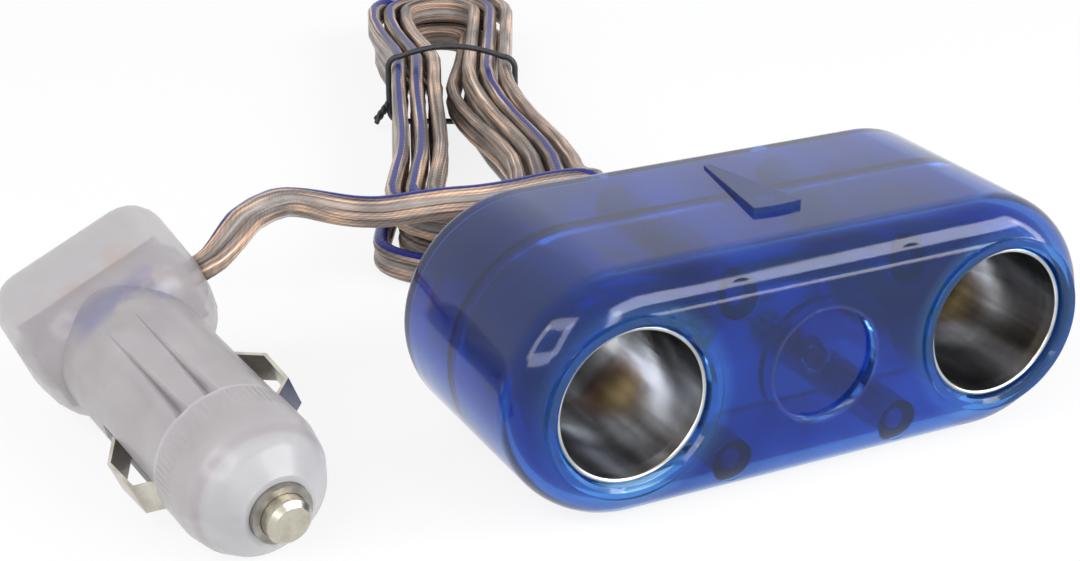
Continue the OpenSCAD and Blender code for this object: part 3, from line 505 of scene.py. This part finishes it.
# %% Tie
TIE_R = 0.6
tie_left, tie_right, tie_top, TIE_CORNER, TIE_BULGE = -12.2, 13.64, 14.5, 2.4, 2.2
tie_low = TIE_R + 0.02
tie_points = []
for cb, cz, start in (
    (tie_right - TIE_CORNER, tie_top - TIE_CORNER, 0), (tie_left + TIE_CORNER, tie_top - TIE_CORNER, 90),
    (tie_left + TIE_CORNER, tie_low + TIE_CORNER, 180), (tie_right - TIE_CORNER, tie_low + TIE_CORNER, 270),
):
    for k in range(9):
        t = math.radians(start + 90 * k / 8)
        tie_points.append((cb + TIE_CORNER * math.cos(t), cz + TIE_CORNER * math.sin(t)))
    if start == 0:
        span = (tie_right - tie_left) / 2 - TIE_CORNER
        for k in range(1, 12):
            share = 1.0 - k / 6.0
            tie_points.append((cb - span + span * share, tie_top + TIE_BULGE * (1.0 - share * share)))


def wire_loop(name, places, radius, closed):
    """A round wire along places, as a curve that is turned into a mesh."""
    line = bpy.data.curves.new(name, "CURVE")
    line.dimensions = "3D"
    line.bevel_depth = radius * MM
    line.bevel_resolution = 4
    line.use_fill_caps = True
    spline = line.splines.new("POLY")
    spline.points.add(len(places) - 1)
    for point, place in zip(spline.points, places):
        point.co = (*(place * MM), 1.0)
    spline.use_cyclic_u = closed
    drawn = bpy.data.objects.new(name, line)
    bpy.context.scene.collection.objects.link(drawn)
    bpy.context.view_layer.update()
    mesh = bpy.data.meshes.new_from_object(drawn.evaluated_get(bpy.context.evaluated_depsgraph_get()))
    bpy.data.objects.remove(drawn)
    made = bpy.data.objects.new(name, mesh)
    bpy.context.scene.collection.objects.link(made)
    for face in made.data.polygons:
        face.use_smooth = True
    return made


def across_hank(a, b, z):
    return HANK_AT + ALONG * a + ACROSS * b + Vector((0.0, 0.0, z))


tie = wire_loop("hank_tie_wire", [across_hank(0, b, z) for b, z in tie_points], TIE_R, True)
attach(tie, "splitter")
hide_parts("hank_tie")

TAIL_LENGTH, TAIL_STEPS = 3.6, 18
tails = []
for number in range(2):
    places = []
    for k in range(TAIL_STEPS + 1):
        share = k / TAIL_STEPS
        twist = math.pi * (number + 3.0 * share)
        places.append(across_hank(
            -0.8 * TIE_R * math.sin(twist) - TAIL_LENGTH * share,
            tie_left - 0.5 * TIE_R - 0.6 * TAIL_LENGTH * share,
            4.2 - 2.2 * share + 0.8 * TIE_R * math.cos(twist),
        ))
    tail = wire_loop("tie_tail_" + str(number + 1), places, TIE_R * 0.9, False)
    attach(tail, "splitter")
    tails.append(tail)

f = Finish("tie_cover")
grain = f.noise(f.place(), 1800.0)
dress(
    f.shade(
        Base_Color=f.colours(grain, (0.3, (0.006, 0.006, 0.008)), (0.8, (0.03, 0.03, 0.035))),
        Roughness=0.35 + 0.25 * grain,
        Normal=f.bump(grain, 0.0001, 0.4),
    ),
    tie, *tails,
)
print("tie drawn round the waist,", round(tie_right - tie_left, 1), "mm wide")

# %% [markdown]
# The housing is two moulded shells of clear blue plastic, 2 mm thick. Light goes through both
# walls, so the shader is a real refracting one: the colour deepens where the wall is seen edge
# on, and the barrels and wires inside show as dark shapes. The CAD solids have the true walls,
# which is what makes this work.

# %% Smooth copies of the clear solids
def smooth_copy(node, name, angle=30.0):
    """A merged and smooth-shaded copy of a CAD node, which it then stands for."""
    source = frame["nodes"][node]
    mesh = source.data.copy()
    mesh.name = name
    bm = bmesh.new()
    bm.from_mesh(mesh)
    bmesh.ops.remove_doubles(bm, verts=bm.verts, dist=1e-6)
    limit = math.radians(angle)
    for face in bm.faces:
        face.smooth = True
    for edge in bm.edges:
        edge.smooth = len(edge.link_faces) == 2 and edge.calc_face_angle(math.pi) < limit
    bm.to_mesh(mesh)
    bm.free()
    made = bpy.data.objects.new(name, mesh)
    bpy.context.scene.collection.objects.link(made)
    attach(made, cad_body(node))
    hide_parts(node)
    return made


record = frame["record"]
body_nodes = record["behaviour"]["bodies"]


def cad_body(node):
    return next(body for body, nodes in body_nodes.items() if node in nodes)


clear_front = smooth_copy("front_shell", "clear_front_shell")
clear_rear = smooth_copy("rear_shell", "clear_rear_shell")
clear_wedge = smooth_copy("mount_wedge", "clear_mount_wedge")
print("clear shells:", len(clear_front.data.polygons), "and", len(clear_rear.data.polygons), "faces")

# %% Finish of the housing
f = Finish("clear_blue_plastic")
spot = f.place()
flow = f.noise(f.stretched(spot, (60.0, 25.0, 60.0)), 1.0, 2.0)
side_x, up_z = f.axis(spot, "X"), f.axis(spot, "Z") - CENTRE_Z * MM
front = 1.0 - f.axis(spot, "Y").step(-0.0193, -0.0165)
upper_side = up_z.step(0.0165, 0.0178)
from_bore = ((abs(side_x) - SOCKET_X * MM) ** 2.0 + up_z ** 2.0) ** 0.5
from_window = (side_x ** 2.0 + up_z ** 2.0) ** 0.5
# Painted highlight: the plastic round each socket's mouth is painted a bright light blue.
lip_painted_highlight = (1.0 - from_bore.step(0.0128, 0.0156)) * front
disc = (1.0 - from_window.step(0.0072, 0.0078)) * front
# Painted highlight: a thin bright ring is painted round the edge of the round disc in the middle of the front.
ring = from_window.step(0.0077, 0.0081) * (1.0 - from_window.step(0.0084, 0.0089)) * front
plastic = f.colours(flow, (0.34, (0.012, 0.085, 0.42)), (0.66, (0.035, 0.16, 0.62)))
plastic = f.mixed(lip_painted_highlight * 0.9, plastic, (0.12, 0.46, 0.97))
plastic = f.mixed(disc * 0.4, plastic, (0.11, 0.23, 0.7))
plastic = f.mixed(ring * 0.55, plastic, (0.3, 0.45, 0.95))
blue_finish = f.shade(
    Base_Color=plastic,
    Roughness=0.07 + 0.06 * flow,
    IOR=1.38,
    Specular_IOR_Level=0.34,
    Transmission_Weight=0.93,
    Coat_Weight=0.07 + 0.16 * upper_side,
    Coat_Roughness=0.03,
    Normal=f.bump(flow, 0.0003, 0.3),
)
dress(blue_finish, clear_front, clear_rear)

f = Finish("pale_blue_plastic")
flow = f.noise(f.stretched(f.place(), (60.0, 25.0, 60.0)), 1.0, 2.0)
wedge_finish = f.shade(
    Base_Color=f.colours(flow, (0.3, (0.05, 0.11, 0.46)), (0.7, (0.08, 0.16, 0.56))),
    Roughness=0.2 + 0.06 * flow,
    IOR=1.35,
    Transmission_Weight=0.75,
)
dress(wedge_finish, clear_wedge)
print("housing finish:", len(f.tree.nodes), "nodes")

# %% [markdown]
# The sockets are drawn from nickel-plated sheet, with faint rings from the drawing die. A painted
# highlight makes the rolled rim bright, painted shade makes the outer wall dark, and the marks along
# the bore are partly plating stains and partly painted reflections. Brass, red fibre and tinned wire
# make up the contacts.

# %% Metals
f = Finish("drawn_nickel")
spot = f.place()
# Partly plating stains, partly painted reflections: marks along the bore from dark grey to near white.
stains_and_painted_reflections = f.noise(f.stretched(spot, (170.0, 18.0, 170.0)), 1.0, 3.0, 0.5)
rings = f.noise(f.stretched(spot, (40.0, 900.0, 40.0)), 1.0, 2.0)
side_x, up_z = f.axis(spot, "X"), f.axis(spot, "Z") - CENTRE_Z * MM
from_bore = ((abs(side_x) - SOCKET_X * MM) ** 2.0 + up_z ** 2.0) ** 0.5
# Painted shade: the barrels' outer wall is painted nearly black. Painted highlight: their front rim is painted pale
# cream.
outer_wall_painted_shade = from_bore.step(0.01062, 0.0107)
socket_rim_painted_highlight = 1.0 - f.axis(spot, "Y").step(-0.0168, -0.0158)
plating = f.colours(
    stains_and_painted_reflections,
    (0.34, (0.2, 0.2, 0.2)), (0.46, (0.38, 0.38, 0.38)), (0.56, (0.6, 0.61, 0.64)), (0.68, (0.88, 0.91, 0.96)),
)
nickel = f.shade(
    Base_Color=f.mixed(socket_rim_painted_highlight * 0.4, f.mixed(outer_wall_painted_shade * 0.6, plating, (0.06, 0.06, 0.06)), (0.88, 0.86, 0.8)),
    Metallic=1.0,
    Roughness=0.16 + 0.12 * rings,
    Normal=f.bump(rings, 0.00003, 0.12),
)
dress(nickel, "barrel_left", "barrel_right", "ground_strap", "contact_yoke")

f = Finish("plated_contact")
spot = f.place()
wear = f.noise(spot, 260.0)
plate = f.shade(
    Base_Color=f.colours(wear, (0.3, (0.42, 0.39, 0.33)), (0.7, (0.68, 0.65, 0.58))),
    Metallic=1.0,
    Roughness=0.22 + 0.22 * wear,
    Normal=f.bump(wear, 0.0001, 0.2),
)
dress(plate, "side_contact_left", "side_contact_right", "fuse_caps")

f = Finish("zinc_screw")
bloom = f.noise(f.place(), 500.0)
dress(
    f.shade(
        Base_Color=f.colours(bloom, (0.3, (0.62, 0.63, 0.65)), (0.7, (0.82, 0.82, 0.84))),
        Metallic=0.7,
        Roughness=0.4 + 0.2 * bloom,
    ),
    "shell_screws", "plug_screw",
)

f = Finish("ring_plate")
dulling = f.noise(f.place(), 300.0)
dress(
    f.shade(
        Base_Color=f.colours(dulling, (0.3, (0.2, 0.185, 0.165)), (0.7, (0.42, 0.4, 0.37))),
        Metallic=1.0,
        Roughness=0.26 + 0.2 * dulling,
        Normal=f.bump(dulling, 0.0001, 0.2),
    ),
    "nose_ring",
)

f = Finish("turned_pin")
spot = f.place()
turning = f.noise(spot, 500.0)
pin_plate = f.shade(
    Base_Color=f.colours(turning, (0.3, (0.46, 0.43, 0.35)), (0.7, (0.58, 0.55, 0.47))),
    Metallic=1.0,
    Roughness=0.2 + 0.16 * turning,
    Normal=f.bump(turning, 0.00005, 0.2),
)
dress(pin_plate, "centre_pin")

f = Finish("contact_brass")
tarnish = f.noise(f.place(), 220.0)
brass = f.shade(
    Base_Color=f.colours(tarnish, (0.3, (0.5, 0.36, 0.14)), (0.7, (0.78, 0.6, 0.3))),
    Metallic=1.0,
    Roughness=0.25 + 0.25 * tarnish,
)
dress(brass, "centre_contact_left", "centre_contact_right", "positive_bus", "spring_terminal")

f = Finish("red_fibre")
mottle = f.noise(f.place(), 700.0)
fibre = f.shade(
    Base_Color=f.colours(mottle, (0.3, (0.22, 0.06, 0.03)), (0.7, (0.36, 0.11, 0.06))),
    Roughness=0.7 + 0.15 * mottle,
    Normal=f.bump(mottle, 0.0001, 0.5),
)
dress(fibre, "rivet_bush_left", "rivet_bush_right", "rivet_washer_left", "rivet_washer_right")

f = Finish("bright_wire")
bright = f.noise(f.place(), 900.0)
wire_metal = f.shade(Base_Color=(0.7, 0.7, 0.7), Metallic=1.0, Roughness=0.22 + 0.2 * bright)
coil_spring = smooth_copy("pin_spring", "plug_coil_spring", 70.0)
dress(wire_metal, "lamp_wire", coil_spring)
# A pressed pin moves 2 mm, which shortens the spring towards its terminal; the end point and the share of its length
# that it keeps are worked out below, but not applied
PIN_TRAVEL = 2.0
places = [(v.co / MM - TIP).dot(BACK) for v in coil_spring.data.vertices]
spring_end, spring_length = max(places), max(places) - min(places)
tuple((TIP + BACK * spring_end) * MM)
1.0 - PIN_TRAVEL / spring_length
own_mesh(coil_spring)
print("spring:", round(spring_length, 2), "mm long, ending", round(spring_end, 2), "mm behind the tip")
print("metals are on")

# %% [markdown]
# Small parts inside: the red lamp, its resistor with a tan body, the two leads and the rubber
# grommet.

# %% Small parts
f = Finish("red_lens")
clear = f.noise(f.place(), 400.0)
dress(
    f.shade(
        Base_Color=f.colours(clear, (0.3, (0.7, 0.02, 0.015)), (0.7, (0.85, 0.05, 0.04))),
        Roughness=0.12 + 0.1 * clear,
        Coat_Weight=0.5,
        Emission_Color=(0.8, 0.03, 0.02),
        Emission_Strength=0.4,
    ),
    "lamp_led",
)

f = Finish("resistor_lacquer")
bands = (f.axis(f.place(), "Y") * 5200.0).sine().step(0.35, 0.6)
dress(
    f.shade(Base_Color=f.mixed(bands, (0.55, 0.42, 0.27), (0.25, 0.07, 0.03)), Roughness=0.4 + 0.1 * bands),
    "lamp_resistor",
)

f = Finish("copper_lead_cover")
twist = f.noise(f.place(), 800.0)
dress(
    f.shade(
        Base_Color=f.colours(twist, (0.3, (0.4, 0.2, 0.11)), (0.7, (0.72, 0.45, 0.3))),
        Roughness=0.3 + 0.2 * twist,
        Coat_Weight=0.6,
    ),
    "lead_positive", "plug_lead_positive",
)

f = Finish("blue_lead_cover")
haze = f.noise(f.place(), 600.0)
dress(
    f.shade(
        Base_Color=f.colours(haze, (0.3, (0.02, 0.06, 0.4)), (0.7, (0.05, 0.12, 0.6))),
        Roughness=0.3 + 0.15 * haze,
        Coat_Weight=0.5,
    ),
    "lead_negative", "plug_lead_negative",
)

f = Finish("grommet_rubber")
pores = f.noise(f.place(), 1500.0)
dress(
    f.shade(
        Base_Color=f.colours(pores, (0.3, (0.012, 0.012, 0.014)), (0.7, (0.03, 0.03, 0.034))),
        Roughness=0.5 + 0.2 * pores,
        Normal=f.bump(pores, 0.0001, 0.5),
    ),
    "cord_grommet",
)

f = Finish("fuse_tube")
dust = f.noise(f.place(), 300.0)
dress(f.shade(Base_Color=(0.9, 0.95, 0.95), Roughness=0.04 + 0.04 * dust, Alpha=0.35), "fuse_glass")
print("small parts are on")

# %% [markdown]
# The plug is frosted, nearly white plastic with a lilac tint. Light goes in, scatters and comes
# out again, so its shadows are soft and pale. Subsurface scattering gives that, and a little
# alpha lets the dark metal inside show as a faint shape.

# %% Plug
plug_upper = smooth_copy("plug_shell_upper", "frosted_shell_upper", 25.0)
plug_lower = smooth_copy("plug_shell_lower", "frosted_shell_lower", 25.0)
nose = smooth_copy("nose_cap", "frosted_nose_cap", 25.0)

# A place on the plug: x across the grip, y down through it, s back from the tip, in millimetres
f = Finish("frosted_plastic")
spot = f.place()


def along_way(way):
    parts = [f.axis(spot, letter) * (way[i] / MM) for i, letter in enumerate("XYZ")]
    return parts[0] + parts[1] + parts[2] - way.dot(TIP)


plug_x, plug_y, plug_s = along_way(GRIP_X), along_way(GRIP_Y), along_way(BACK)
radius = (plug_x ** 2.0 + plug_y ** 2.0) ** 0.5
around = f.angle(plug_y, plug_x)
mist = f.noise(spot, 90.0)
grit = f.noise(spot, 2200.0)
knurl = (around * 72.0).sine() * plug_s.step(13.4, 13.8) * (1.0 - plug_s.step(17.2, 17.6))
# Painted shade: the middle of each flute on the grip is painted darker.
flute_painted_shade = (1.0 - radius.step(9.5, 9.95)) * plug_s.step(19.0, 21.0) * (1.0 - plug_s.step(42.0, 44.0))
body = f.colours(mist, (0.3, (0.41, 0.38, 0.385)), (0.7, (0.49, 0.46, 0.465)))
# Painted shade: the wall over the hollow of the grip is painted darker. The two leads show through the frosted wall as
# soft tints
blots = f.noise(spot, 160.0).step(0.38, 0.6)
grip_hollow_painted_shade = (1.0 - abs(plug_x).step(9.5, 12.5)) * plug_s.step(47.0, 51.0) * (1.0 - plug_s.step(60.5, 64.0))
blue_tint = (1.0 - abs(plug_x - 2.0).step(5.0, 9.0)) * plug_s.step(42.5, 45.5) * (1.0 - plug_s.step(48.0, 51.0)) * blots
tan_tint = (1.0 - abs(plug_x).step(5.0, 10.0)) * plug_s.step(51.0, 53.5) * (1.0 - plug_s.step(55.0, 58.0)) * blots
body = f.mixed(grip_hollow_painted_shade * 0.4, body, (0.3, 0.27, 0.29))
body = f.mixed(tan_tint * 0.6, f.mixed(blue_tint * 0.6, body, (0.15, 0.17, 0.36)), (0.4, 0.27, 0.22))
# Painted highlight: the nose up to 8 mm from the tip is painted paler. Painted shade: a band just behind it is painted
# darker.
nose_painted_highlight = 1.0 - plug_s.step(7.0, 8.0)
cone_edge_painted_shade = plug_s.step(7.4, 8.0) * (1.0 - plug_s.step(8.3, 9.6))
body = f.mixed(flute_painted_shade * 0.5, body, (0.2, 0.175, 0.195))
body = f.mixed(cone_edge_painted_shade * 0.3, f.mixed(nose_painted_highlight * 0.3, body, (0.46, 0.5, 0.52)), (0.27, 0.25, 0.27))
# Painted highlight: a narrow band at the rear rim of the nose cap is painted paler.
cap_rim_painted_highlight = plug_s.step(17.6, 17.9) * (1.0 - plug_s.step(18.4, 18.7))
grip = plug_s.step(43.0, 49.0)
frosted = f.shade(
    Base_Color=f.mixed(cap_rim_painted_highlight * 0.5, body, (0.66, 0.63, 0.65)),
    Roughness=0.26 + 0.12 * grit,
    IOR=1.45,
    Subsurface_Weight=0.35,
    Subsurface_Radius=(0.003, 0.003, 0.0034),
    Subsurface_Scale=1.0,
    Coat_Weight=0.25,
    Coat_Roughness=0.15,
    Alpha=0.72 - 0.16 * grip,
    Normal=f.bump(grit * 0.06 + knurl, 0.0002, 0.4),
)
dress(frosted, plug_upper, plug_lower, nose)
print("plug is frosted")

# %% [markdown]
# The cord's length is measured along its centre line and printed.

# %% The cord's facts
print("declared", round(cord_length, 3), "m of cord")

# %% [markdown]
# The stage is a pale floor that the camera sees as white, with the object's own soft shadow
# left on it, and a white surround. Gloss and clear plastic see the same white.

# %% Floor and surround
floor_mesh = bpy.data.meshes.new("pale_floor")
bm = bmesh.new()
bmesh.ops.create_grid(bm, x_segments=1, y_segments=1, size=6.0)
bm.to_mesh(floor_mesh)
bm.free()
floor = bpy.data.objects.new("pale_floor", floor_mesh)
bpy.context.scene.collection.objects.link(floor)

WHITE_TO = ("Is Camera Ray", "Is Glossy Ray", "Is Transmission Ray")
f = Finish("pale_floor")
soft = f.node("ShaderNodeBsdfDiffuse", {}, {"Color": (0.9, 0.9, 0.9, 1.0)})
white = f.node("ShaderNodeEmission", {}, {"Color": (1.0, 1.0, 1.0, 1.0), "Strength": 1.0})
paths = [f.node("ShaderNodeLightPath", {}, output=ray) for ray in WHITE_TO]
seen = f.node("ShaderNodeMixShader", {}, [(paths[0] + paths[1] + paths[2]).clamped() * 0.85, soft, white])
f.tree.links.new(seen.socket, f.out.inputs["Surface"])
dress(f.material, floor)

world = bpy.data.worlds.new("pale_room")
world.use_nodes = True
bpy.context.scene.world = world
tree = world.node_tree
tree.nodes.clear()
surround = tree.nodes.new("ShaderNodeBackground")
backdrop = tree.nodes.new("ShaderNodeBackground")
path = tree.nodes.new("ShaderNodeLightPath")
pick = tree.nodes.new("ShaderNodeMixShader")
result = tree.nodes.new("ShaderNodeOutputWorld")
surround.inputs["Color"].default_value = (0.9, 0.93, 1.0, 1.0)
surround.inputs["Strength"].default_value = 0.44
backdrop.inputs["Color"].default_value = (1.0, 1.0, 1.0, 1.0)
backdrop.inputs["Strength"].default_value = 1.0
both = [tree.nodes.new("ShaderNodeMath") for _ in range(2)]
for sum_node in both:
    sum_node.operation = "ADD"
    sum_node.use_clamp = True
for socket, ray in zip((both[0].inputs[0], both[0].inputs[1], both[1].inputs[1]), WHITE_TO):
    tree.links.new(path.outputs[ray], socket)
tree.links.new(both[0].outputs[0], both[1].inputs[0])
tree.links.new(both[1].outputs[0], pick.inputs[0])
tree.links.new(surround.outputs[0], pick.inputs[1])
tree.links.new(backdrop.outputs[0], pick.inputs[2])
tree.links.new(pick.outputs[0], result.inputs["Surface"])
print("stage is set")

# %% [markdown]
# The two long streaks along the housing's top edge are one soft light with a hollow middle, so
# the light is built as four bars in a frame, in front and to the right. A second frame to the
# left leaves the small ring of light at the corner, and the pale room fills the rest.

# %% Lamps
def bar_lamp(name, centre, width, height, watts, aim):
    lamp = bpy.data.lights.new(name, "AREA")
    lamp.shape = "RECTANGLE"
    lamp.size = width
    lamp.size_y = height
    lamp.energy = watts
    made = bpy.data.objects.new(name, lamp)
    made.location = centre
    made.rotation_euler = (aim - centre).to_track_quat("-Z", "Y").to_euler()
    bpy.context.scene.collection.objects.link(made)
    return made


AIM = Vector((0.0, -0.01, 0.025))


def hollow_lamp(name, turn_degrees, lift_degrees, half_w, half_h, bars, watts):
    """Four bars round a dark middle, 0.9 m from the housing. The bars go top, bottom, sides."""
    turn, lift = math.radians(turn_degrees), math.radians(lift_degrees)
    toward = Vector((math.sin(turn) * math.cos(lift), -math.cos(turn) * math.cos(lift), math.sin(lift)))
    sideways = Vector((math.cos(turn), math.sin(turn), 0.0))
    upward = sideways.cross(toward) * -1.0
    middle = AIM + toward * 0.9
    top, bottom, side = bars
    for part, x, y, wide, high in (
        ("top", 0.0, half_h, half_w * 2, top), ("bottom", 0.0, -half_h, half_w * 2, bottom),
        ("left", -half_w, 0.0, side, half_h * 2), ("right", half_w, 0.0, side, half_h * 2),
    ):
        bar_lamp(name + "_" + part, middle + sideways * x + upward * y, wide, high, watts * wide * high, AIM)


hollow_lamp("front_frame", 37.0, 18.5, 0.42, 0.255, (0.34, 0.1, 0.12), 24.0)
hollow_lamp("left_frame", -65.0, 35.0, 0.34, 0.24, (0.17, 0.17, 0.17), 16.0)

bpy.context.scene.view_settings.view_transform = "Standard"
print("lamps are lit")
